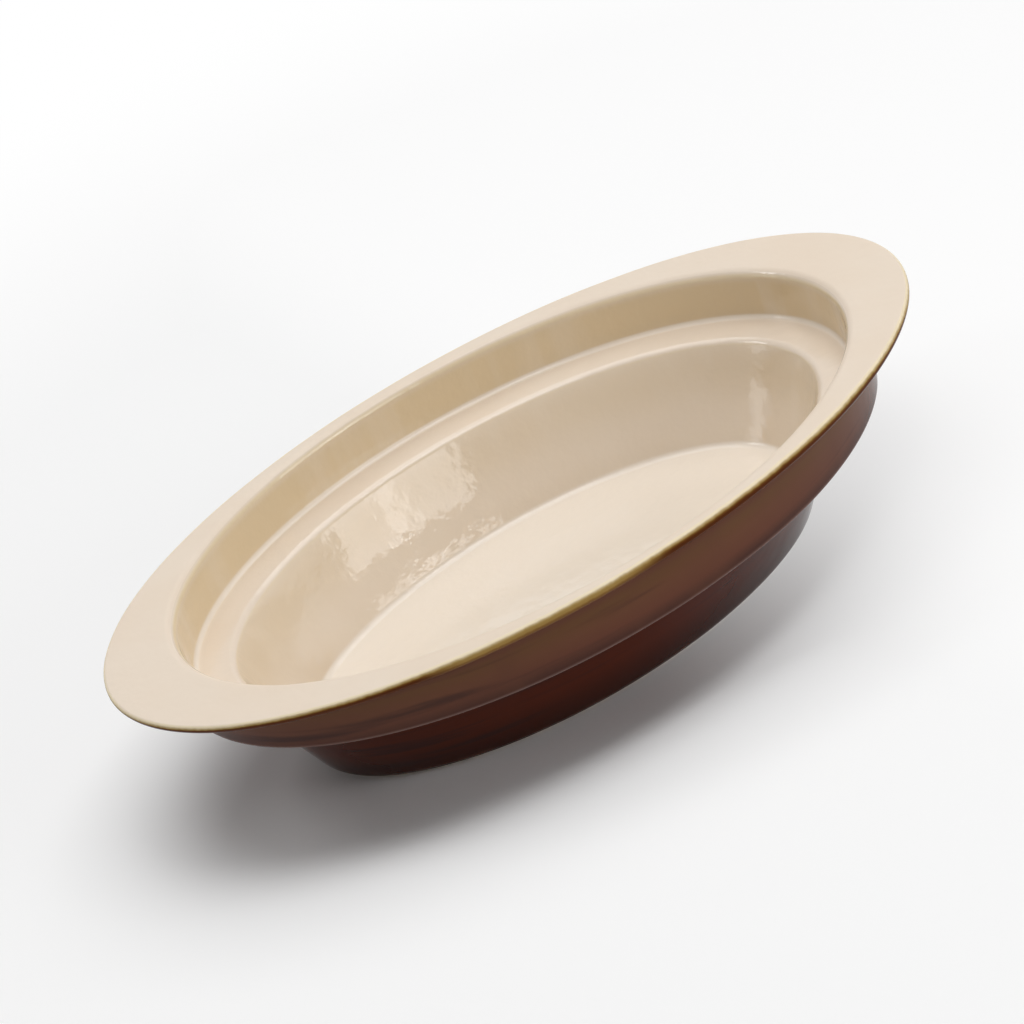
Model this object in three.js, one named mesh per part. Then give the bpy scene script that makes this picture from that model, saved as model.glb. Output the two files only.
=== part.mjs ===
// Oval stoneware oven dish: a stepped bowl under a flat rim that widens into an ear at each end.
// Millimetres, +Z up. The origin lies on the table under the middle, and X runs along the dish.

import * as THREE from "three";

// Overall sizes, over the glaze
const RIM_LENGTH = 300;
const RIM_WIDTH = 181.5;
const HEIGHT = 58.3;

// Glaze coats
const GLAZE_THICKNESS = 0.3;
const GLAZE_SEAT = 0.05; // clearance between a coat and the clay under it
const COAT_JOINT = 0.1; // how far each end of a coat stops short of its boundary

// Rim, in clay
const RIM_THICKNESS = 3.2;
const RIM_TOP_ROUND = 1.4;
const RIM_BOTTOM_ROUND = 1;
const LIP_ROUND = 3.2; // where the rim rolls over into the bowl
const SIDE_OVERHANG = 1.75; // how far the rim stands out past the wall on the long sides
const EAR_OVERHANG = 22.5; // the same at the two ends
const SIDE_COVE = 0.5; // hollow rounding under the rim on the long sides
const EAR_COVE = 6; // the same under an ear
const EAR_TAPER = 1.5; // how much thicker an ear is at the wall than at its edge

// Upper wall and ledge, in clay
const UPPER_WALL = 4.3;
const UPPER_WALL_DEPTH = 17.3; // rim top to ledge
const UPPER_WALL_LEAN = 1; // how far the inner face draws in on its way down
const LEDGE_BREADTH = 13.1;
const LEDGE_FALL = 0.7; // how far the ledge drops towards the middle
const LEDGE_FILLET = 3;
const LEDGE_ROUND = 3;

// Step on the outside, under the ledge
const STEP_THICKNESS = 4; // ledge to ridge, measured at the upper wall
const STEP_FALL = 2; // how far the underside drops towards the lower wall
const STEP_COVE = 2.5;
const RIDGE_ROUND = 1.2;

// Lower wall, floor and foot, in clay
const LOWER_WALL = 5.8;
const LOWER_WALL_LEAN = 16.6; // how far the inner face draws in from ledge to floor
const FLOOR_THICKNESS = 6.6;
const FLOOR_FILLET = 5;
const HEEL_ROUND = 6;
const FOOT_HEIGHT = 2.2;
const FOOT_BREADTH = 9; // from the inner side of the foot ring to the sharp heel
const FOOT_DRAFT = 1.2; // how far the inner side of the foot ring slopes

// Fineness of the surface
const PLAN_STEPS = 60;
const LEG_SHARE = 0.45; // the most of a straight leg that one rounding may use up

// Places that follow from the sizes above
const COAT = GLAZE_SEAT + GLAZE_THICKNESS;
const rimEdge = RIM_WIDTH / 2 - COAT;
const earEdge = RIM_LENGTH / 2 - COAT;
const outerWall = rimEdge - SIDE_OVERHANG;
const stretch = earEdge - EAR_OVERHANG - outerWall; // half the length that the bowl has over its width
const rimTop = HEIGHT - COAT;
const rimUnderside = rimTop - RIM_THICKNESS;
const lipWall = outerWall - UPPER_WALL;
const ledgeOuter = new THREE.Vector2(lipWall - UPPER_WALL_LEAN, rimTop - UPPER_WALL_DEPTH);
const ledgeInner = new THREE.Vector2(ledgeOuter.x - LEDGE_BREADTH, ledgeOuter.y - LEDGE_FALL);
const floorTop = FOOT_HEIGHT + FLOOR_THICKNESS;
const floorEdge = new THREE.Vector2(ledgeInner.x - LOWER_WALL_LEAN, floorTop);
const ridge = new THREE.Vector2(outerWall, ledgeOuter.y - STEP_THICKNESS);

// The outer face of the lower wall runs parallel to the inner one
const wallRise = ledgeInner.clone().sub(floorEdge).normalize();
const wallFoot = new THREE.Vector2(wallRise.y, -wallRise.x).multiplyScalar(LOWER_WALL).add(floorEdge);

function wallRadiusAt(height) {
  return wallFoot.x + ((height - wallFoot.y) * wallRise.x) / wallRise.y;
}

const heel = wallRadiusAt(0);
const stepHeight = ridge.y - STEP_FALL;
const footInner = heel - FOOT_BREADTH;

// The section is drawn twice with the same corners: on the short axis, where its first number is half
// the width, and on the long axis, where it is half the length.
function corner(radius, height, rounding = 0, steps = 0) {
  return {
    side: new THREE.Vector2(radius, height),
    end: new THREE.Vector2(radius + stretch, height),
    sideRounding: rounding,
    endRounding: rounding,
    steps,
  };
}

function rimCorner(height, rounding, steps) {
  const rim = corner(rimEdge, height, rounding, steps);
  rim.end.x = earEdge;
  return rim;
}

function coveCorner(steps) {
  const cove = corner(outerWall, rimUnderside, SIDE_COVE, steps);
  cove.end.y -= EAR_TAPER;
  cove.endRounding = EAR_COVE;
  return cove;
}

// Corners of the clay, from the middle of the base outwards, over the rim and down to the floor
const corners = {
  baseMiddle: corner(0, FOOT_HEIGHT),
  recessEdge: corner(footInner - FOOT_DRAFT, FOOT_HEIGHT),
  footEdge: corner(footInner, 0),
  heel: corner(heel, 0, HEEL_ROUND, 4),
  step: corner(wallRadiusAt(stepHeight), stepHeight, STEP_COVE, 2),
  ridge: corner(ridge.x, ridge.y, RIDGE_ROUND, 2),
  cove: coveCorner(3),
  rimBottom: rimCorner(rimUnderside, RIM_BOTTOM_ROUND, 2),
  rimTop: rimCorner(rimTop, RIM_TOP_ROUND, 2),
  lip: corner(lipWall, rimTop, LIP_ROUND, 3),
  ledgeOuter: corner(ledgeOuter.x, ledgeOuter.y, LEDGE_FILLET, 3),
  ledgeInner: corner(ledgeInner.x, ledgeInner.y, LEDGE_ROUND, 3),
  floor: corner(floorEdge.x, floorEdge.y, FLOOR_FILLET, 3),
  floorMiddle: corner(0, floorTop),
};

// Points of an arc that touches both legs of a corner
function roundedCorner(before, point, after, rounding, steps) {
  if (steps === 0) {
    return [point.clone()];
  }
  const legIn = before.clone().sub(point);
  const legOut = after.clone().sub(point);
  const dot = legIn.dot(legOut) / (legIn.length() * legOut.length());
  const halfAngle = Math.acos(dot) / 2;
  const longestTangent = LEG_SHARE * Math.min(legIn.length(), legOut.length());
  const tangent = Math.min(rounding / Math.tan(halfAngle), longestTangent);
  const radius = tangent * Math.tan(halfAngle);
  const towardsCentre = legIn.clone().normalize().add(legOut.clone().normalize()).normalize();
  const centre = towardsCentre.multiplyScalar(radius / Math.sin(halfAngle)).add(point);
  const start = legIn.clone().setLength(tangent).add(point);
  const sweep = Math.sign(legOut.cross(legIn)) * (Math.PI - 2 * halfAngle);
  const points = [];
  for (let step = 0; step <= steps; step += 1) {
    points.push(start.clone().rotateAround(centre, (sweep * step) / steps));
  }
  return points;
}

// Rounds one corner on both axes and pairs the points up
function roundBoth(list, place) {
  const here = list[place];
  const before = list[Math.max(place - 1, 0)];
  const after = list[Math.min(place + 1, list.length - 1)];
  const side = roundedCorner(before.side, here.side, after.side, here.sideRounding, here.steps);
  const end = roundedCorner(before.end, here.end, after.end, here.endRounding, here.steps);
  return side.map((point, number) => ({ side: point, end: end[number] }));
}

const names = Object.keys(corners);
const arcs = {};
names.forEach((name, place) => {
  arcs[name] = roundBoth(Object.values(corners), place);
});

function stretchOfSection(first, last) {
  return names.slice(names.indexOf(first), names.indexOf(last) + 1).flatMap((name) => arcs[name]);
}

// Moves an open run of points off the clay by a distance, keeping its facets parallel
function offsetLine(points, distance) {
  const normals = points.slice(1).map((point, number) => {
    const along = point.clone().sub(points[number]).normalize();
    return new THREE.Vector2(along.y, -along.x);
  });
  return points.map((point, number) => {
    const normalIn = normals[Math.max(number - 1, 0)];
    const normalOut = normals[Math.min(number, normals.length - 1)];
    const mitre = normalIn.clone().add(normalOut).normalize();
    return mitre.multiplyScalar(distance / mitre.dot(normalOut)).add(point);
  });
}

function drawBack(point, neighbour) {
  return neighbour.clone().sub(point).setLength(COAT_JOINT).add(point);
}

// Shortens both ends of a line by the joint, apart from an end on the axis
function trimLine(points, startsOnAxis, endsOnAxis) {
  const trimmed = points.map((point) => point.clone());
  const last = points.length - 1;
  if (!startsOnAxis) {
    trimmed[0] = drawBack(points[0], points[1]);
  }
  if (!endsOnAxis) {
    trimmed[last] = drawBack(points[last], points[last - 1]);
  }
  return trimmed;
}

// Closed section of a coat over a run of the clay: its face, and its seat on the clay run backwards
function coatSection(run) {
  const startsOnAxis = run[0].side.x === 0;
  const endsOnAxis = run.at(-1).side.x === 0;
  const side = trimLine(run.map((point) => point.side), startsOnAxis, endsOnAxis);
  const end = trimLine(run.map((point) => point.end), startsOnAxis, endsOnAxis);

  function layer(distance, back) {
    const sideLine = offsetLine(side, distance);
    const endLine = offsetLine(end, distance);
    return sideLine.map((point, number) => ({ side: point, end: endLine[number], back }));
  }

  const face = layer(COAT, false);
  const seat = layer(GLAZE_SEAT, true).reverse();
  if (endsOnAxis) {
    return { points: [...seat, ...face], closed: false };
  }
  return { points: [...face, ...seat], closed: !startsOnAxis };
}

// Sweeps a section round the oval. A seat splits its facets along the other diagonal from a face,
// because it runs backwards, so it stays parallel to the clay under it.
function sweepOval(section) {
  const { points, closed } = section;
  const count = points.length;
  const positions = [];
  for (let step = 0; step < PLAN_STEPS; step += 1) {
    const turn = (2 * Math.PI * step) / PLAN_STEPS;
    const cos = Math.cos(turn);
    const sin = Math.sin(turn);
    for (const { side, end } of points) {
      positions.push(end.x * cos, side.x * sin, side.y * sin * sin + end.y * cos * cos);
    }
  }
  const triangles = [];
  const spans = closed ? count : count - 1;
  for (let step = 0; step < PLAN_STEPS; step += 1) {
    const here = step * count;
    const ahead = ((step + 1) % PLAN_STEPS) * count;
    for (let span = 0; span < spans; span += 1) {
      const next = (span + 1) % count;
      if (points[span].back && points[next].back) {
        triangles.push(here + span, ahead + span, ahead + next);
        triangles.push(here + span, ahead + next, here + next);
      } else {
        triangles.push(here + span, ahead + span, here + next);
        triangles.push(ahead + span, ahead + next, here + next);
      }
    }
  }
  const geometry = new THREE.BufferGeometry();
  geometry.setAttribute("position", new THREE.Float32BufferAttribute(positions, 3));
  geometry.setIndex(triangles);
  geometry.computeVertexNormals();
  return geometry;
}

// Where one finish hands over to the next along the section
const heelMiddle = Math.floor(arcs.heel.length / 2);
const rimTopMiddle = Math.floor(arcs.rimTop.length / 2);
const brownRun = [...arcs.heel.slice(heelMiddle), ...stretchOfSection("step", "rimBottom")];
const amberRun = [arcs.rimBottom.at(-1), ...arcs.rimTop.slice(0, rimTopMiddle + 1)];
const creamRun = [...arcs.rimTop.slice(rimTopMiddle), ...stretchOfSection("lip", "floorMiddle")];
const baseRun = stretchOfSection("baseMiddle", "recessEdge");

function finish(color, roughness) {
  return new THREE.MeshStandardMaterial({ color, roughness, metalness: 0 });
}

const bareClay = finish(0xc9b291, 0.85);
const creamGlaze = finish(0xe4d6c2, 0.15);
const amberGlaze = finish(0x8a5a1c, 0.2);
const brownGlaze = finish(0x4d2f25, 0.12);

function piece(name, section, material) {
  const mesh = new THREE.Mesh(sweepOval(section), material);
  mesh.name = name;
  return mesh;
}

const claySection = { points: stretchOfSection("baseMiddle", "floorMiddle"), closed: false };

const ovenDish = new THREE.Group();
ovenDish.add(piece("stoneware_body", claySection, bareClay));
ovenDish.add(piece("cream_liner_glaze", coatSection(creamRun), creamGlaze));
ovenDish.add(piece("amber_rim_glaze", coatSection(amberRun), amberGlaze));
ovenDish.add(piece("brown_outer_glaze", coatSection(brownRun), brownGlaze));
ovenDish.add(piece("brown_base_glaze", coatSection(baseRun), brownGlaze));

export default ovenDish;
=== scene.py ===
# %% [markdown]
# Oval oven dish in glazed stoneware.
# The real dish is one fired pot. A clay body was pressed or cast in one piece, dipped brown on the
# outside, poured cream on the inside, and wiped along the rim, where the glaze runs thin and turns amber.
# The CAD model gives the pot in flat facets. This lesson puts smooth surfaces and finishes in their place.

# %% Load the frame
import math

import bmesh
import bpy
import numpy as np
from mathutils import Matrix, Quaternion, Vector


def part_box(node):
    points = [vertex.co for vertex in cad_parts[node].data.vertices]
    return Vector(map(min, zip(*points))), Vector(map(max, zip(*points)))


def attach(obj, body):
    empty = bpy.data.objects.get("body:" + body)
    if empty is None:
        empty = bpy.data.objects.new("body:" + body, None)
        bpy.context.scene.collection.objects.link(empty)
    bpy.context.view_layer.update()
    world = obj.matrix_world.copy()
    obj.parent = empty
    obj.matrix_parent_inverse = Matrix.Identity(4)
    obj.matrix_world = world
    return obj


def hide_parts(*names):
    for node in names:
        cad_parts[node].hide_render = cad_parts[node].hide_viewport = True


MM = 0.001

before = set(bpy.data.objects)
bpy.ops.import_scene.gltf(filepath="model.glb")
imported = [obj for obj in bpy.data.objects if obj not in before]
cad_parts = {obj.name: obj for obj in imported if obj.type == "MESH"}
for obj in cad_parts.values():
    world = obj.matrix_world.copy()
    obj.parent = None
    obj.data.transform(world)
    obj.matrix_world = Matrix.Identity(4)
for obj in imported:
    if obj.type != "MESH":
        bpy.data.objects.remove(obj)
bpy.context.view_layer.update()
print("CAD nodes:", ", ".join(sorted(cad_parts)))

# %% [markdown]
# The camera looks down on one long side of the dish through a long lens, and it is rolled, so that the
# dish lies aslant in the picture. It could be aimed by hand in the viewport. Here its axes are worked
# out from three angles instead, because a rolled camera is easier to put right with numbers.

# %% Camera
CAMERA_AZIMUTH = math.radians(-24.4038)  # 0 looks along +Y
CAMERA_ELEVATION = math.radians(28.2347)
CAMERA_ROLL = math.radians(-20.5865)
CAMERA_DISTANCE = 1.4889
CAMERA_LENS = 162.3  # millimetres, on Blender's 36 mm sensor
DISH_RIGHT = 17.84 * MM  # from the middle of the picture to the dish's origin
DISH_UP = -33.774 * MM


def direction(azimuth, elevation):
    """The way to a viewer or a lamp that stands at these angles."""
    level = math.cos(elevation)
    return Vector((math.sin(azimuth) * level, -math.cos(azimuth) * level, math.sin(elevation)))


towards_camera = direction(CAMERA_AZIMUTH, CAMERA_ELEVATION)
level_right = Vector((math.cos(CAMERA_AZIMUTH), math.sin(CAMERA_AZIMUTH), 0))
level_up = towards_camera.cross(level_right)
picture_right = level_right * math.cos(CAMERA_ROLL) + level_up * math.sin(CAMERA_ROLL)
picture_up = level_up * math.cos(CAMERA_ROLL) - level_right * math.sin(CAMERA_ROLL)

camera = bpy.data.objects.new("camera", bpy.data.cameras.new("camera"))
camera.data.lens = CAMERA_LENS
camera.matrix_world = Matrix((picture_right, picture_up, towards_camera)).transposed().to_4x4()
camera.location = towards_camera * CAMERA_DISTANCE - picture_right * DISH_RIGHT - picture_up * DISH_UP
bpy.context.scene.collection.objects.link(camera)
bpy.context.scene.camera = camera
print("camera at", [round(number, 3) for number in camera.location])

# %% [markdown]
# Every surface of the pot follows from one section: the outline that a cut across the dish would show.
# The potter's sizes below are those of the clay. The outer sizes and the thickness of the glaze are
# measured on the CAD model, so that the finished dish fills the same box.

# %% Sizes of the clay
clay_low, clay_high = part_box("stoneware_body")
ear_edge = clay_high.x
rim_edge = clay_high.y
rim_top = clay_high.z
glaze_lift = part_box("amber_rim_glaze")[1].x - ear_edge  # from the clay to the face of the glaze
GLAZE_SEAT = 0.05 * MM

RIM_THICKNESS = 3.2 * MM
RIM_TOP_ROUND = 1.4 * MM
RIM_BOTTOM_ROUND = 1.0 * MM
EAR_BOTTOM_ROUND = 2.0 * MM
LIP_ROUND = 3.2 * MM
SIDE_OVERHANG = 1.75 * MM
EAR_OVERHANG = 22.5 * MM
SIDE_COVE = 0.75 * MM
EAR_COVE = 6.0 * MM
EAR_TAPER = 1.5 * MM
EAR_EDGE_RISE = 1.2 * MM
UPPER_WALL = 4.3 * MM
UPPER_WALL_DEPTH = 17.3 * MM
UPPER_WALL_LEAN = 1.0 * MM
LEDGE_BREADTH = 13.1 * MM
LEDGE_FALL = 0.7 * MM
LEDGE_FILLET = 2.2 * MM
LEDGE_ROUND = 3.0 * MM
STEP_THICKNESS = 4.0 * MM
STEP_FALL = 2.0 * MM
STEP_COVE = 2.5 * MM
RIDGE_ROUND = 0.4 * MM
LOWER_WALL = 5.8 * MM
LOWER_WALL_LEAN = 16.6 * MM
LOWER_WALL_SAG = 0.9 * MM
FLOOR_THICKNESS = 6.6 * MM
FLOOR_FILLET = 3.2 * MM
HEEL_ROUND = 6.0 * MM
FOOT_HEIGHT = 2.2 * MM
FOOT_BREADTH = 9.0 * MM
FOOT_DRAFT = 1.2 * MM
FOOT_ROUND = 0.5 * MM
clay_size = [round(2 * edge / MM, 1) for edge in (ear_edge, rim_edge)]
print("clay is", clay_size, "mm, glaze", round(glaze_lift / MM, 2), "mm")

# %% [markdown]
# The bowl is an oval whose length is its width plus a fixed stretch, so its walls are as thick at the ends
# as along the sides. That is why the section is drawn twice with the same corners: once across the dish
# and once along it. Only the rim differs, because it widens into an ear at each end.

# %% Corners of the section
outer_wall = rim_edge - SIDE_OVERHANG
stretch = ear_edge - EAR_OVERHANG - outer_wall
rim_underside = rim_top - RIM_THICKNESS
lip_wall = outer_wall - UPPER_WALL
ledge_outer = Vector((lip_wall - UPPER_WALL_LEAN, rim_top - UPPER_WALL_DEPTH))
ledge_inner = Vector((ledge_outer.x - LEDGE_BREADTH, ledge_outer.y - LEDGE_FALL))
floor_top = FOOT_HEIGHT + FLOOR_THICKNESS
floor_edge = Vector((ledge_inner.x - LOWER_WALL_LEAN, floor_top))
ridge_height = ledge_outer.y - STEP_THICKNESS
step_height = ridge_height - STEP_FALL

wall_rise = (ledge_inner - floor_edge).normalized()
wall_foot = floor_edge + Vector((wall_rise.y, -wall_rise.x)) * LOWER_WALL


def wall_radius(height):
    """Half the width of the lower wall's outer face at a height."""
    return wall_foot.x + (height - wall_foot.y) * wall_rise.x / wall_rise.y


heel = wall_radius(0)
foot_inner = heel - FOOT_BREADTH


def corner(radius, height, rounding=0.0):
    """One corner of the section, across the dish and along it, each with its own rounding."""
    return {
        "across": Vector((radius, height)),
        "along": Vector((radius + stretch, height)),
        "rounding": {"across": rounding, "along": rounding},
    }


def axis_corner(height):
    middle = corner(0, height)
    middle["along"].x = 0
    return middle


def rim_corner(height, rounding, ear_rounding, ear_rise=0.0):
    rim = corner(rim_edge, height, rounding)
    rim["along"].x = ear_edge
    rim["along"].y += ear_rise
    rim["rounding"]["along"] = ear_rounding
    return rim


def cove_corner():
    cove = corner(outer_wall, rim_underside, SIDE_COVE)
    cove["along"].y -= EAR_TAPER
    cove["rounding"]["along"] = EAR_COVE
    return cove


corners = {
    "base middle": axis_corner(FOOT_HEIGHT),
    "recess edge": corner(foot_inner - FOOT_DRAFT, FOOT_HEIGHT, FOOT_ROUND),
    "foot edge": corner(foot_inner, 0, FOOT_ROUND),
    "heel": corner(heel, 0, HEEL_ROUND),
    "step": corner(wall_radius(step_height), step_height, STEP_COVE),
    "ridge": corner(outer_wall, ridge_height, RIDGE_ROUND),
    "cove": cove_corner(),
    "rim bottom": rim_corner(rim_underside, RIM_BOTTOM_ROUND, EAR_BOTTOM_ROUND, EAR_EDGE_RISE),
    "rim top": rim_corner(rim_top, RIM_TOP_ROUND, RIM_TOP_ROUND),
    "lip": corner(lip_wall, rim_top, LIP_ROUND),
    "ledge outer": corner(ledge_outer.x, ledge_outer.y, LEDGE_FILLET),
    "ledge inner": corner(ledge_inner.x, ledge_inner.y, LEDGE_ROUND),
    "floor": corner(floor_edge.x, floor_edge.y, FLOOR_FILLET),
    "floor middle": axis_corner(floor_top),
}
print("section has", len(corners), "corners")

# %% [markdown]
# A bevel modifier could round the corners once the mesh exists. Rounding the section before it is swept
# is better here: the arcs stay true circles, and each glaze can start and stop at a chosen point of one.

# %% Round the corners
ARC_STEPS = 10
LEG_SHARE = 0.45  # the most of a straight leg that one rounding may use up
LONGEST_SPAN = 2.6 * MM


def arc_points(before, point, after, rounding):
    """Points of an arc that touches both legs of a corner."""
    leg_in = before - point
    leg_out = after - point
    half_angle = leg_in.angle(leg_out) / 2
    tangent = min(rounding / math.tan(half_angle), LEG_SHARE * min(leg_in.length, leg_out.length))
    radius = tangent * math.tan(half_angle)
    middle_way = (leg_in.normalized() + leg_out.normalized()).normalized()
    centre = point + middle_way * radius / math.sin(half_angle)
    spoke = point + leg_in.normalized() * tangent - centre
    crossed = leg_out.x * leg_in.y - leg_out.y * leg_in.x
    sweep = math.copysign(math.pi - 2 * half_angle, crossed)
    turns = [Matrix.Rotation(sweep * step / ARC_STEPS, 2) for step in range(ARC_STEPS + 1)]
    return [centre + turn @ spoke for turn in turns]


def rounded(names, place, line):
    here = corners[names[place]]
    if here["rounding"][line] == 0:
        return [here[line].copy()]
    before = corners[names[place - 1]][line]
    after = corners[names[place + 1]][line]
    return arc_points(before, here[line], after, here["rounding"][line])


def draw_section():
    """The whole section as pairs of points, and where each corner's arc starts and ends in it."""
    names = list(corners)
    across, along, spans = [], [], {}
    for place, name in enumerate(names):
        side_arc = rounded(names, place, "across")
        end_arc = rounded(names, place, "along")
        if across:
            gap = max((side_arc[0] - across[-1]).length, (end_arc[0] - along[-1]).length)
            pieces = math.ceil(gap / LONGEST_SPAN)
            side_from, end_from = across[-1], along[-1]
            for piece in range(1, pieces):
                across.append(side_from.lerp(side_arc[0], piece / pieces))
                along.append(end_from.lerp(end_arc[0], piece / pieces))
        first = len(across)
        across += side_arc
        along += end_arc
        spans[name] = (first, len(across) - 1)
    return np.array(across), np.array(along), spans


across, along, spans = draw_section()
print("rounded section has", len(across), "points")

# %% [markdown]
# Glaze lies on the clay like a skin, so its face is the section moved outwards along its normals. The same
# normals say how sharply the surface bends. Glaze runs thin over a crown and pools in a hollow, and the
# finishes below use that number to change their colour there.

# %% Normals, length and bend of the section
BEND_BLUR = 0.6 * MM


def normals_of(line):
    """Normals of an open line, halfway between those of the two spans at each point."""
    steps = np.diff(line, axis=0)
    steps /= np.linalg.norm(steps, axis=1)[:, None]
    flat = np.stack([steps[:, 1], -steps[:, 0]], axis=1)
    mitre = np.vstack([flat[:1], flat[:-1] + flat[1:], flat[-1:]])
    mitre /= np.linalg.norm(mitre, axis=1)[:, None]
    following = np.vstack([flat, flat[-1:]])
    return mitre / np.sum(mitre * following, axis=1)[:, None]


def length_along(line):
    return np.concatenate([[0], np.cumsum(np.linalg.norm(np.diff(line, axis=0), axis=1))])


def bend_of(line):
    """Turn per millimetre, above 0 on a crown and below 0 in a hollow, blurred along the line."""
    run = length_along(line)
    steps = np.diff(line, axis=0)
    heading = np.unwrap(np.arctan2(steps[:, 1], steps[:, 0]))
    turn = np.concatenate([[0], np.diff(heading), [0]])
    weight = np.exp(-(((run[:, None] - run[None, :]) / BEND_BLUR) ** 2))
    reach = BEND_BLUR / MM * math.sqrt(math.pi)
    return weight @ turn / reach


across_normals = normals_of(across)
along_normals = normals_of(along)
across_bend = bend_of(across)
along_bend = bend_of(along)
print("bends from", round(across_bend.min(), 2), "to", round(across_bend.max(), 2), "per mm")

# %% [markdown]
# The inside of the lower wall is not quite straight: it is scooped a little, so that it mirrors a lamp in
# front as a patch that stops short of the floor. The points of that wall are pushed into the clay along
# their normals, most in the middle and not at all at either end.

# %% Scoop the lower wall
scoop_first = spans["ledge inner"][0] + ARC_STEPS // 2
scoop_last = spans["floor"][0] + ARC_STEPS // 5


def scooped(line, normals):
    run = length_along(line)
    share = (run - run[scoop_first]) / (run[scoop_last] - run[scoop_first])
    depth = LOWER_WALL_SAG * np.sin(np.pi * np.clip(share, 0, 1)) ** 2
    return line - depth[:, None] * normals


across = scooped(across, across_normals)
along = scooped(along, along_normals)
across_normals = normals_of(across)
along_normals = normals_of(along)
print("lower wall scooped by", round(LOWER_WALL_SAG / MM, 2), "mm")

# %% [markdown]
# No pot is perfectly even. A faint waviness in the glaze is what makes its reflections wobble, so the face
# of each coat is lowered a little here and there by a sum of slow waves. It only ever goes inwards, so the
# dish stays inside its box.

# %% Waves in the glaze
WAVE_DEPTH = 0.14 * MM
WAVE_COUNT = 28
WAVE_SPREAD = 0.25  # scales the summed waves, which vary about zero
WAVE_SEED = 7
SHORTEST_WAVE = 16 * MM
LONGEST_WAVE = 70 * MM
wave_maker = np.random.default_rng(WAVE_SEED)
wave_ways = wave_maker.normal(size=(WAVE_COUNT, 3))
wave_ways /= np.linalg.norm(wave_ways, axis=1)[:, None]
wave_lengths = np.geomspace(SHORTEST_WAVE, LONGEST_WAVE, WAVE_COUNT)
wave_starts = wave_maker.uniform(0, 2 * math.pi, WAVE_COUNT)


def waves(points):
    """From 0 to 1 at each point, slowly varying."""
    phase = points @ (wave_ways * (2 * math.pi / wave_lengths)[:, None]).T + wave_starts
    heights = np.sin(phase) * (wave_lengths / LONGEST_WAVE)
    total = heights.sum(axis=-1) / np.sqrt(np.sum((wave_lengths / LONGEST_WAVE) ** 2))
    return np.clip(0.5 + WAVE_SPREAD * total, 0, 1)


print("waves run from", SHORTEST_WAVE / MM, "to", LONGEST_WAVE / MM, "mm")

# %% [markdown]
# A round pot would be a Screw modifier. This one is oval, so each point of the section is carried round
# its own ellipse: its place across the dish follows the sine of the turn and its place along it the cosine.
# A coat of glaze is a closed skin: its face, then its seat on the clay run backwards.

# %% Sweep a section round the oval
PLAN_STEPS = 240
SHARP_ANGLE = math.radians(42)
MERGE_DISTANCE = 1e-7
plan_turns = np.linspace(0, 2 * math.pi, PLAN_STEPS, endpoint=False)[:, None]


def carry_round(numbers, lift):
    """Points of some stations of the section, lifted off the clay and carried round the oval."""
    side = across[numbers] + lift[..., None] * across_normals[numbers]
    end = along[numbers] + lift[..., None] * along_normals[numbers]
    x = end[..., 0] * np.cos(plan_turns)
    y = side[..., 0] * np.sin(plan_turns)
    z = side[..., 1] * np.sin(plan_turns) ** 2 + end[..., 1] * np.cos(plan_turns) ** 2
    return np.stack([x, y, z], axis=-1)


def bend_round(numbers):
    """The bend at some stations of the section, at each turn round the oval."""
    return across_bend[numbers] * np.sin(plan_turns) ** 2 + along_bend[numbers] * np.cos(plan_turns) ** 2


def swept_mesh(name, points, values, closed):
    """A mesh of rings. Its vertices carry the values, and rings on the axis are merged to one point."""
    turns, count = points.shape[:2]
    here = np.arange(turns)[:, None] * count
    ahead = np.roll(here, -1, axis=0)
    station = np.arange(count if closed else count - 1)
    after = (station + 1) % count
    quads = np.stack([here + station, ahead + station, ahead + after, here + after], axis=-1)
    mesh = bpy.data.meshes.new(name)
    mesh.from_pydata(points.reshape(-1, 3).tolist(), [], quads.reshape(-1, 4).tolist())
    for value_name, value in values.items():
        layer = mesh.attributes.new(value_name, "FLOAT", "POINT")
        layer.data.foreach_set("value", np.ascontiguousarray(value, np.float32).reshape(-1))
    work = bmesh.new()
    work.from_mesh(mesh)
    bmesh.ops.remove_doubles(work, verts=work.verts, dist=MERGE_DISTANCE)
    bmesh.ops.recalc_face_normals(work, faces=work.faces)
    work.to_mesh(mesh)
    work.free()
    mesh.shade_smooth()
    mesh.set_sharp_from_angle(angle=SHARP_ANGLE)
    return mesh


def dish_piece(name, mesh, node):
    piece = bpy.data.objects.new(name, mesh)
    bpy.context.scene.collection.objects.link(piece)
    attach(piece, "root")
    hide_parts(node)
    print(name, "has", len(mesh.polygons), "faces")
    return piece


print("the oval is swept in", PLAN_STEPS, "steps")

# %% [markdown]
# The clay body is the whole section with nothing on it. Almost all of it is under glaze: only the foot
# ring, which was wiped clean so that the pot would not stick to the kiln shelf, shows bare clay.

# %% Clay body
whole_section = np.arange(len(across))
clay_points = carry_round(whole_section, np.zeros((PLAN_STEPS, len(across))))
clay_mesh = swept_mesh("clay_body", clay_points, {}, closed=False)
clay_body = dish_piece("clay_body", clay_mesh, "stoneware_body")

# %% [markdown]
# The coats meet edge to edge along the rim and share the same points there, so no gap shows. Towards bare
# clay a coat thins out over a millimetre or two, as melted glaze does where it stops. The mesh also carries
# a number that rises and falls four times round the rim: where it is low, the rim's edge takes a dark amber
# band of painted shade, and where it is high, a thin gold break.

# %% Coats of glaze
FEATHER = 1.6 * MM
FEATHER_START = 0.02  # keeps the thin end of a coat from closing up
EAR_BREAK_SHIFT = 0.5  # millimetres that the cream reaches further over the edge at the ears
# low values of this number give the rim's edge its dark amber band of painted shade
THIN_AND_LIT_ROUNDS = 4
MOST_THIN_AND_LIT = math.radians(-108)  # a turn round the oval
run_across = length_along(across)
rim_break = sum(spans["rim top"]) // 2  # cream hands over to amber in the middle of this arc
amber_end = spans["rim bottom"][1]
glaze_line = sum(spans["heel"]) // 2


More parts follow.
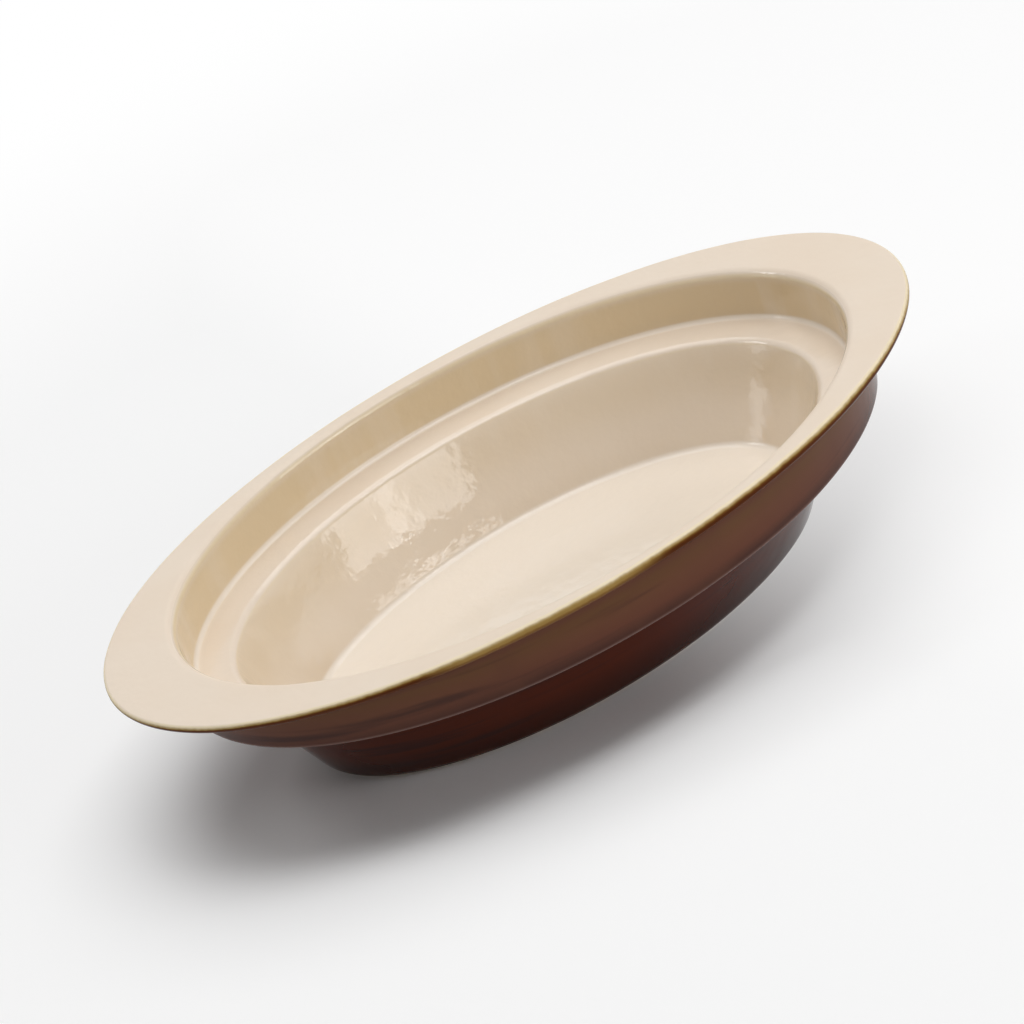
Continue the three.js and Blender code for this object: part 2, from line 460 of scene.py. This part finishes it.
def feathered(numbers, bare_end):
    """How much of the full coat each station has: all of it, but for the part next to bare clay."""
    if bare_end is None:
        return np.ones(len(numbers))
    share = np.abs(run_across[numbers] - run_across[bare_end]) / FEATHER
    return np.sqrt(np.clip(share, FEATHER_START, 1))


def skin(face, seat, seat_first):
    """The stations of a face and of its seat in one row. A coat that ends on the axis has its seat first."""
    order = (seat, face) if seat_first else (face, seat)
    return np.concatenate(order, axis=1)


def coat_piece(name, first, last, node, bare_end=None):
    numbers = np.arange(first, last + 1)
    flat_lift = np.full((PLAN_STEPS, len(numbers)), glaze_lift)
    hollow = WAVE_DEPTH * waves(carry_round(numbers, flat_lift))
    thickness = (glaze_lift - GLAZE_SEAT - hollow) * feathered(numbers, bare_end)
    face = carry_round(numbers, GLAZE_SEAT + thickness)
    seat = carry_round(numbers, np.full_like(flat_lift, GLAZE_SEAT))[:, ::-1]
    run = (run_across[rim_break] - run_across[numbers]) / MM - EAR_BREAK_SHIFT * np.cos(plan_turns) ** 2
    steep = np.tile(1 - np.abs(across_normals[numbers, 1]), (PLAN_STEPS, 1))
    # high where the edge stays thin and gold, low where it gets the dark amber band of painted shade
    thin_and_lit = np.tile(0.5 + 0.5 * np.cos(THIN_AND_LIT_ROUNDS * (plan_turns - MOST_THIN_AND_LIT)), (1, len(numbers)))
    values = {"run": run, "bend": bend_round(numbers), "steep": steep, "thin_and_lit": thin_and_lit}
    ends_on_axis = across[last][0] == 0
    starts_on_axis = across[first][0] == 0
    points = skin(face, seat, ends_on_axis)
    values = {key: skin(value, value[:, ::-1], ends_on_axis) for key, value in values.items()}
    mesh = swept_mesh(name, points, values, closed=not (ends_on_axis or starts_on_axis))
    return dish_piece(name, mesh, node)


cream_liner = coat_piece("cream_liner", rim_break, len(across) - 1, "cream_liner_glaze")
amber_rim = coat_piece("amber_rim", amber_end, rim_break, "amber_rim_glaze")
brown_outside = coat_piece(
    "brown_outside", glaze_line, amber_end, "brown_outer_glaze", bare_end=glaze_line
)
recess_end = spans["recess edge"][0]
brown_base = coat_piece("brown_base", 0, recess_end, "brown_base_glaze", bare_end=recess_end)

# %% [markdown]
# The finishes are node materials. A few helpers keep their code short: one adds a node and fills in its
# sockets, the others make the mixes, ramps and noises that every glaze uses.

# %% Helpers for the finishes
def add(tree, kind, inputs=None, **settings):
    made = tree.nodes.new(kind)
    for name, value in settings.items():
        setattr(made, name, value)
    for name, value in (inputs or {}).items():
        if isinstance(value, bpy.types.NodeSocket):
            tree.links.new(value, made.inputs[name])
        else:
            made.inputs[name].default_value = value
    return made


def colour(red, green, blue):
    return (red, green, blue, 1.0)


FACTOR = 0  # these are sockets of a Mix node that is set to colours
FIRST = 6
SECOND = 7
MIXED = 2


def mixed(tree, factor, first, second):
    return add(
        tree, "ShaderNodeMix", {FACTOR: factor, FIRST: first, SECOND: second}, data_type="RGBA"
    ).outputs[MIXED]


def between(tree, value, low, high, to_low=0.0, to_high=1.0):
    sockets = {"Value": value, "From Min": low, "From Max": high, "To Min": to_low, "To Max": to_high}
    return add(tree, "ShaderNodeMapRange", sockets, interpolation_type="SMOOTHSTEP").outputs["Result"]


def arithmetic(tree, operation, first, second):
    return add(tree, "ShaderNodeMath", {0: first, 1: second}, operation=operation).outputs[0]


def object_place(tree):
    return add(tree, "ShaderNodeTexCoord").outputs["Object"]


def stretched_place(tree, scale):
    return add(tree, "ShaderNodeMapping", {"Vector": object_place(tree), "Scale": scale}).outputs["Vector"]


def cloud(tree, place, scale, detail=2.0, roughness=0.5):
    sockets = {"Vector": place, "Scale": scale, "Detail": detail, "Roughness": roughness}
    return add(tree, "ShaderNodeTexNoise", sockets).outputs["Fac"]


def painted(tree, name):
    """A number that the mesh carries on its vertices."""
    return add(tree, "ShaderNodeAttribute", attribute_name=name).outputs["Fac"]


def new_finish(name):
    material = bpy.data.materials.new(name)
    material.use_nodes = True
    material.node_tree.nodes.clear()
    return material


def shaded(material, base_colour, roughness, height, bump_distance, ior):
    """Ends a finish: one Principled shader with a bump, joined to the output."""
    tree = material.node_tree
    bump = add(tree, "ShaderNodeBump", {"Height": height, "Distance": bump_distance, "Strength": 1.0})
    shader = add(
        tree,
        "ShaderNodeBsdfPrincipled",
        {"Base Color": base_colour, "Roughness": roughness, "IOR": ior, "Normal": bump.outputs["Normal"]},
    )
    add(tree, "ShaderNodeOutputMaterial", {"Surface": shader.outputs["BSDF"]})
    return material


print("helpers ready")

# %% [markdown]
# Where the glaze breaks over the rim it goes from cream through pale yellow and gold to amber and
# brown, within a few millimetres. Round the rim it switches between two ramps: a thin break that stays
# gold, and one with a dark amber band of painted shade over the rim's outer face and underside. All three
# glazes use the same two ramps, read at the same distance from the break with the same noise, so the edge
# wanders across the seams between the pieces unseen.

# %% The break along the rim
CREAM = colour(0.79, 0.676, 0.555)
PALE_YELLOW = colour(0.80, 0.68, 0.47)
PALE_GOLD = colour(0.53, 0.40, 0.21)
GOLD = colour(0.40, 0.27, 0.09)
OLIVE_GOLD = colour(0.36, 0.222, 0.064)
LIGHT_AMBER = colour(0.22, 0.11, 0.028)
AMBER = colour(0.17, 0.066, 0.010)
# painted shade on the rim's outer face and underside
AMBER_SHADE = colour(0.085, 0.020, 0.002)
BROWN = colour(0.120, 0.043, 0.022)
THIN_BREAK = [
    (-1.3, CREAM),
    (-0.7, PALE_YELLOW),
    (-0.3, PALE_YELLOW),
    (0.2, PALE_GOLD),
    (0.5, GOLD),
    (0.9, OLIVE_GOLD),
    (1.3, OLIVE_GOLD),
    (1.9, LIGHT_AMBER),
    (3.0, BROWN),
]  # millimetres from the middle of the rim's upper rounding, outwards
# the second ramp: its dark amber band over the rim's outer face and underside is painted shade
SHADED_BREAK = [
    (-1.3, CREAM),
    (-0.7, PALE_YELLOW),
    (-0.3, PALE_YELLOW),
    (0.15, PALE_GOLD),
    (0.45, GOLD),
    (0.85, AMBER),
    (1.5, AMBER_SHADE),
    (4.0, AMBER_SHADE),
    (5.5, BROWN),
]
BREAK_WANDER = 0.55
SLOW_WANDER = 70.0
QUICK_WANDER = 420.0
EDGE_SHADE_UP_TO = 0.65  # up to here the edge has the full painted shade
EDGE_UNSHADED_FROM = 0.9
BROWN_IOR = 1.24  # lower than the cream's, for a quieter gloss
AMBER_IOR = 1.14


def wandering_run(tree):
    """Distance from the break along the rim, made uneven by two noises."""
    place = object_place(tree)
    slow = arithmetic(tree, "SUBTRACT", cloud(tree, place, SLOW_WANDER), 0.5)
    quick = arithmetic(tree, "SUBTRACT", cloud(tree, place, QUICK_WANDER), 0.5)
    both = arithmetic(tree, "MULTIPLY", arithmetic(tree, "ADD", slow, quick), BREAK_WANDER)
    return arithmetic(tree, "ADD", painted(tree, "run"), both)


def ramp_of(tree, value, stops):
    """Colours at given values, with smooth changes between them."""
    low, high = stops[0][0], stops[-1][0]
    share = add(tree, "ShaderNodeMapRange", {"Value": value, "From Min": low, "From Max": high})
    ramp = add(tree, "ShaderNodeValToRGB", {"Fac": share.outputs["Result"]})
    marks = ramp.color_ramp.elements
    while len(marks) < len(stops):
        marks.new(0.5)
    for mark, (place, tint) in zip(marks, stops):
        mark.position = (place - low) / (high - low)
        mark.color = tint
    return ramp.outputs["Color"]


def break_colour(tree, run):
    # mixes the thin gold break with the ramp that carries the painted shade
    edge_unshaded = between(tree, painted(tree, "thin_and_lit"), EDGE_SHADE_UP_TO, EDGE_UNSHADED_FROM)
    return mixed(tree, edge_unshaded, ramp_of(tree, run, SHADED_BREAK), ramp_of(tree, run, THIN_BREAK))


print("break has", len(THIN_BREAK), "colours where thin and", len(SHADED_BREAK), "where thick")

# %% [markdown]
# The cream glaze is glossy and almost even. Its steep walls are painted a darker, warmer tan, which is
# painted shade for the bounced light that reaches them, and the flank of each rounded edge is painted
# yellow, partly thin glaze over the clay and partly painted shade. It is palest where it gathered on the
# floor and in the hollows. A very fine ripple breaks up the edges of whatever it mirrors. The top of the
# rim was wiped with the edge, so it is only satin.

# %% Cream glaze
CREAM_WARM = colour(0.78, 0.658, 0.532)
# partly thin glaze and partly painted shade: the yellow flank of each rounded edge
CREAM_FLANK_THIN_AND_SHADE = colour(0.78, 0.64, 0.40)
CREAM_POOL = colour(0.835, 0.743, 0.635)
# painted shade: the darker, warmer tan of the steep walls
CREAM_WALL_SHADE = colour(0.735, 0.582, 0.345)
CREAM_HOLLOW = colour(0.89, 0.79, 0.665)
POOL_EDGE = 11 * MM  # above the table
POOL_FULL = 9.6 * MM
CREAM_RIPPLE = 0.15 * MM
GLAZE_IOR = 1.5
RIM_SATIN = 0.5  # added to the roughness


def cream_finish():
    material = new_finish("cream_glaze")
    tree = material.node_tree
    place = object_place(tree)
    cloudy = between(tree, cloud(tree, place, 26.0, 3.0), 0.35, 0.65)
    base = mixed(tree, cloudy, CREAM, CREAM_WARM)
    bend = painted(tree, "bend")
    steep = painted(tree, "steep")
    crown = between(tree, bend, 0.05, 0.4)
    # the flank of each rounded edge is painted yellow, partly thin glaze and partly painted shade
    flank_thin_and_shade = arithmetic(tree, "MULTIPLY", crown, between(tree, steep, 0.25, 0.55, 0.0, 0.8))
    base = mixed(tree, flank_thin_and_shade, base, CREAM_FLANK_THIN_AND_SHADE)
    # painted shade: the steep walls, away from the crowns, turn a darker, warmer tan
    off_crown = between(tree, bend, 0.25, 0.05)
    on_wall = between(tree, steep, 0.25, 1.0, 0.0, 0.75)
    wall_shade = arithmetic(tree, "MULTIPLY", on_wall, off_crown)
    base = mixed(tree, wall_shade, base, CREAM_WALL_SHADE)
    runs = cloud(tree, stretched_place(tree, (75.0, 75.0, 5.0)), 1.0, 2.0)
    run_down = arithmetic(tree, "MULTIPLY", between(tree, runs, 0.5, 0.68, 0.0, 0.3), wall_shade)
    base = mixed(tree, run_down, base, CREAM_POOL)
    height = add(tree, "ShaderNodeSeparateXYZ", {0: place}).outputs["Z"]
    on_floor = between(tree, height, POOL_EDGE, POOL_FULL)
    hollow_foot = between(tree, steep, 0.8, 0.45)
    in_hollow = arithmetic(tree, "MULTIPLY", between(tree, bend, -0.1, -0.4, 0.0, 0.5), hollow_foot)
    base = mixed(tree, in_hollow, base, CREAM_HOLLOW)
    base = mixed(tree, on_floor, base, CREAM_POOL)
    run = wandering_run(tree)
    base = mixed(tree, between(tree, run, -1.4, -0.8), base, break_colour(tree, run))
    gloss = between(tree, cloud(tree, place, 45.0), 0.3, 0.7, 0.06, 0.1)
    on_rim = between(tree, height, rim_top - MM, rim_top, 0.0, RIM_SATIN)
    roughness = arithmetic(tree, "ADD", gloss, on_rim)
    ripple = arithmetic(tree, "ADD", cloud(tree, place, 240.0, 2.0), cloud(tree, place, 90.0, 1.0))
    return shaded(material, base, roughness, ripple, CREAM_RIPPLE, GLAZE_IOR)


cream_liner.data.materials.append(cream_finish())
print("cream glaze on", cream_liner.name)

# %% [markdown]
# The amber edge is nothing but the break itself, seen where the glaze was wiped thin, with its dark amber
# band of painted shade where the second ramp is used.

# %% Amber glaze
AMBER_RIPPLE = 0.06 * MM


def amber_finish():
    material = new_finish("amber_glaze")
    tree = material.node_tree
    base = break_colour(tree, wandering_run(tree))
    place = object_place(tree)
    roughness = between(tree, cloud(tree, place, 300.0), 0.3, 0.7, 0.12, 0.25)
    ripple = cloud(tree, place, 500.0, 2.0)
    return shaded(material, base, roughness, ripple, AMBER_RIPPLE, AMBER_IOR)


amber_rim.data.materials.append(amber_finish())
print("amber glaze on", amber_rim.name)

# %% [markdown]
# The brown glaze is full of iron. Its colour is set by height, with a slow wander: chestnut on the upper
# wall, darker towards the ridge, and near-black on the lower wall below the step, which is painted shade
# where that wall faces down. Over the sharpest crowns, such as the ridge, it is a lighter mauve tan, partly
# thin glaze and partly a painted highlight. Under the base, where it could not run, it is mottled instead.

# %% Brown glaze
# by height; the near-black below the step is painted shade on the lower wall, which faces down
BROWN_BANDS_AND_SHADE = [
    (4.0, colour(0.050, 0.010, 0.004)),
    (16.0, colour(0.085, 0.015, 0.005)),
    (27.0, colour(0.070, 0.013, 0.005)),
    (34.0, colour(0.050, 0.012, 0.006)),
    (37.0, colour(0.070, 0.023, 0.014)),
    (41.0, colour(0.125, 0.042, 0.022)),
    (46.0, colour(0.140, 0.052, 0.024)),
    (50.0, colour(0.135, 0.056, 0.021)),
    (55.0, colour(0.118, 0.046, 0.019)),
]  # millimetres above the table
BAND_WANDER = 9.0
BROWN_RIPPLE = 0.1 * MM
# partly thin glaze and partly a painted highlight, over the sharpest crowns such as the ridge
BROWN_THIN_AND_HIGHLIGHT = colour(0.30, 0.19, 0.16)
BROWN_THICK = colour(0.034, 0.012, 0.010)


def brown_finish():
    material = new_finish("brown_glaze")
    tree = material.node_tree
    place = object_place(tree)
    slow = cloud(tree, stretched_place(tree, (5.0, 5.0, 40.0)), 1.0, 2.0)
    height = arithmetic(tree, "DIVIDE", add(tree, "ShaderNodeSeparateXYZ", {0: place}).outputs["Z"], MM)
    wander = arithmetic(tree, "MULTIPLY", arithmetic(tree, "SUBTRACT", slow, 0.5), BAND_WANDER)
    # colour by height, with the painted shade of the lower wall
    base = ramp_of(tree, arithmetic(tree, "ADD", height, wander), BROWN_BANDS_AND_SHADE)
    runs = cloud(tree, stretched_place(tree, (45.0, 45.0, 8.0)), 1.0, 3.0)
    above_step = between(tree, height, 32.0, 38.0)
    run_down = arithmetic(tree, "MULTIPLY", between(tree, runs, 0.45, 0.75, 0.0, 0.5), above_step)
    base = mixed(tree, run_down, base, BROWN)
    streaks = cloud(tree, stretched_place(tree, (11.0, 11.0, 190.0)), 1.0, 3.0)
    base = mixed(tree, between(tree, streaks, 0.5, 0.7, 0.0, 0.7), base, BROWN_THICK)
    patches = between(tree, cloud(tree, place, 80.0, 4.0), 0.4, 0.65, 0.0, 0.5)
    under_base = between(tree, height, 3.4, 2.8)
    base = mixed(tree, arithmetic(tree, "MULTIPLY", patches, under_base), base, BROWN)
    # partly thin glaze and partly a painted highlight along the ridge
    thin_and_highlight = between(tree, painted(tree, "bend"), 0.7, 1.3, 0.0, 0.5)
    base = mixed(tree, thin_and_highlight, base, BROWN_THIN_AND_HIGHLIGHT)
    run = wandering_run(tree)
    base = mixed(tree, between(tree, run, 7.5, 5.0), base, break_colour(tree, run))
    roughness = between(tree, slow, 0.3, 0.7, 0.08, 0.16)
    ripple = arithmetic(tree, "ADD", cloud(tree, place, 110.0, 1.0), cloud(tree, place, 40.0, 1.0))
    return shaded(material, base, roughness, ripple, BROWN_RIPPLE, BROWN_IOR)


brown_glaze = brown_finish()
brown_outside.data.materials.append(brown_glaze)
brown_base.data.materials.append(brown_glaze)
print("brown glaze on", brown_outside.name, "and", brown_base.name)

# %% [markdown]
# The bare clay of the foot ring is a matt buff with grains of grog in it, ground slightly smooth.

# %% Bare clay
CLAY_BUFF = colour(0.62, 0.48, 0.33)
CLAY_PALE = colour(0.68, 0.55, 0.40)
CLAY_GROG = colour(0.30, 0.18, 0.10)
CLAY_GRAIN = 0.12 * MM
CLAY_IOR = 1.45


def clay_finish():
    material = new_finish("bare_clay")
    tree = material.node_tree
    place = object_place(tree)
    base = mixed(tree, between(tree, cloud(tree, place, 90.0, 4.0), 0.35, 0.65), CLAY_BUFF, CLAY_PALE)
    grains = between(tree, cloud(tree, place, 900.0, 1.0), 0.66, 0.74)
    base = mixed(tree, grains, base, CLAY_GROG)
    roughness = between(tree, cloud(tree, place, 350.0, 3.0), 0.3, 0.7, 0.72, 0.92)
    grain = cloud(tree, place, 1400.0, 4.0, 0.7)
    return shaded(material, base, roughness, grain, CLAY_GRAIN, CLAY_IOR)


clay_body.data.materials.append(clay_finish())
print("bare clay on", clay_body.name)

# %% [markdown]
# The stage is a plain white floor. It keeps the dish's soft shadow, but a share of it glows where the
# camera or a reflection looks at it, so that the background comes out white without more light on the dish.
# Close under the left half of the dish nothing glows. The share grows at the outline of the rim and towards
# the right ear, and it is full in the distance, so that the floor runs into white with no horizon.

# %% Floor
FLOOR_SIZE = 12.0
FLOOR_DROP = 0.05 * MM
FLOOR_WHITE = colour(0.96, 0.96, 0.96)
FLOOR_GLOW = 0.3
GLOW_FROM = 0.85  # 1 is the outline of the rim
GLOW_FULL = 1.15
SHADOW_REACH = 0.16  # metres from the middle of the dish
WHITE_FROM = 0.6
LIT_FROM = -0.02  # metres along the dish
LIT_TO = 0.12
LIT_GLOW = 0.7


def seen_directly(tree):
    """1 on rays from the camera and on those that are mirrored or pass through glass, 0 on the rest."""
    path = add(tree, "ShaderNodeLightPath").outputs
    seen = arithmetic(tree, "MAXIMUM", path["Is Camera Ray"], path["Is Glossy Ray"])
    return arithmetic(tree, "MAXIMUM", seen, path["Is Transmission Ray"])


def floor_finish():
    material = new_finish("floor_white")
    tree = material.node_tree
    matt = add(tree, "ShaderNodeBsdfDiffuse", {"Color": FLOOR_WHITE}).outputs["BSDF"]
    glow = add(tree, "ShaderNodeEmission", {"Color": colour(1, 1, 1), "Strength": 1.0}).outputs["Emission"]
    place = object_place(tree)
    away = add(tree, "ShaderNodeVectorMath", {0: place}, operation="LENGTH").outputs["Value"]
    rightwards = add(tree, "ShaderNodeSeparateXYZ", {0: place}).outputs["X"]
    outline = stretched_place(tree, (1 / ear_edge, 1 / rim_edge, 1.0))
    beside = add(tree, "ShaderNodeVectorMath", {0: outline}, operation="LENGTH").outputs["Value"]
    near_share = between(tree, beside, GLOW_FROM, GLOW_FULL, 0.0, FLOOR_GLOW)
    # painted light: the floor glows more towards the right ear, as a lit patch that the brown wall at that
    # end mirrors
    lit_share = between(tree, rightwards, LIT_FROM, LIT_TO, 0.0, LIT_GLOW)
    far_share = between(tree, away, SHADOW_REACH, WHITE_FROM)
    wide_share = arithmetic(tree, "MAXIMUM", lit_share, far_share)
    glow_share = arithmetic(tree, "MAXIMUM", near_share, wide_share)
    share = arithmetic(tree, "MULTIPLY", seen_directly(tree), glow_share)
    both = add(tree, "ShaderNodeMixShader", {0: share, 1: matt, 2: glow}).outputs[0]
    add(tree, "ShaderNodeOutputMaterial", {"Surface": both})
    return material


half = FLOOR_SIZE / 2
floor_outline = ((-half, -half), (half, -half), (half, half), (-half, half))
floor_corners = [(x, y, -FLOOR_DROP) for x, y in floor_outline]
floor_mesh = bpy.data.meshes.new("floor")
floor_mesh.from_pydata(floor_corners, [], [(0, 1, 2, 3)])
floor_mesh.materials.append(floor_finish())
floor = bpy.data.objects.new("floor", floor_mesh)
bpy.context.scene.collection.objects.link(floor)
print("floor is", FLOOR_SIZE, "m across")

# %% [markdown]
# The light is soft and comes mostly from a wide panel overhead. One over the front draws a bright line
# along each rounded corner inside the dish. A softbox in front to the right draws the bright patch on the
# inner wall, with a brighter tube in its middle. A small panel behind to the left sets a spark on each
# rounded edge, and a low one on the left is mirrored by the wall at the right end.

# %% Light
def panel(name, azimuth, elevation, distance, width, height, radiance, roll=0):
    """A soft panel that faces the dish. Radiance 1 is as bright as a white surface in full light."""
    lamp = bpy.data.lights.new(name, "AREA")
    lamp.shape = "RECTANGLE"
    lamp.size = width
    lamp.size_y = height
    lamp.energy = math.pi * radiance * width * height
    holder = bpy.data.objects.new(name, lamp)
    way = direction(math.radians(azimuth), math.radians(elevation))
    turn = way.to_track_quat("Z", "Y") @ Quaternion((0, 0, 1), math.radians(roll))
    holder.location = way * distance
    holder.rotation_euler = turn.to_euler()
    holder.visible_camera = False
    bpy.context.scene.collection.objects.link(holder)


panel("overhead", 125, 75, 2.2, 2.4, 2.4, 1.85)
panel("front_top", 43, 70, 1.9, 1.1, 0.5, 3.5, roll=-43)
panel("softbox", 32, 18.2, 1.3, 0.76, 0.5, 3.1, roll=-15.5)
panel("softbox_tube", 32, 18.2, 1.25, 0.11, 0.5, 2.4, roll=-15.5)
panel("back_left", 230, 45, 1.4, 0.36, 0.32, 5.5)
panel("low_left", 247, 20, 1.3, 0.32, 0.25, 1.7)

WORLD_LIGHT = 0.15
WORLD_SEEN = 1.0
world = bpy.data.worlds.new("studio")
world.use_nodes = True
bpy.context.scene.world = world
world_tree = world.node_tree
world_tree.nodes.clear()
strength = add(
    world_tree,
    "ShaderNodeMapRange",
    {"Value": seen_directly(world_tree), "To Min": WORLD_LIGHT, "To Max": WORLD_SEEN},
).outputs["Result"]
sky = add(world_tree, "ShaderNodeBackground", {"Color": colour(1, 1, 1), "Strength": strength})
add(world_tree, "ShaderNodeOutputWorld", {"Surface": sky.outputs["Background"]})
print("six panels and a white world")

# %% [markdown]
# Last, the picture's colours are left as they are.

# %% Finish
bpy.context.scene.view_settings.view_transform = "Standard"
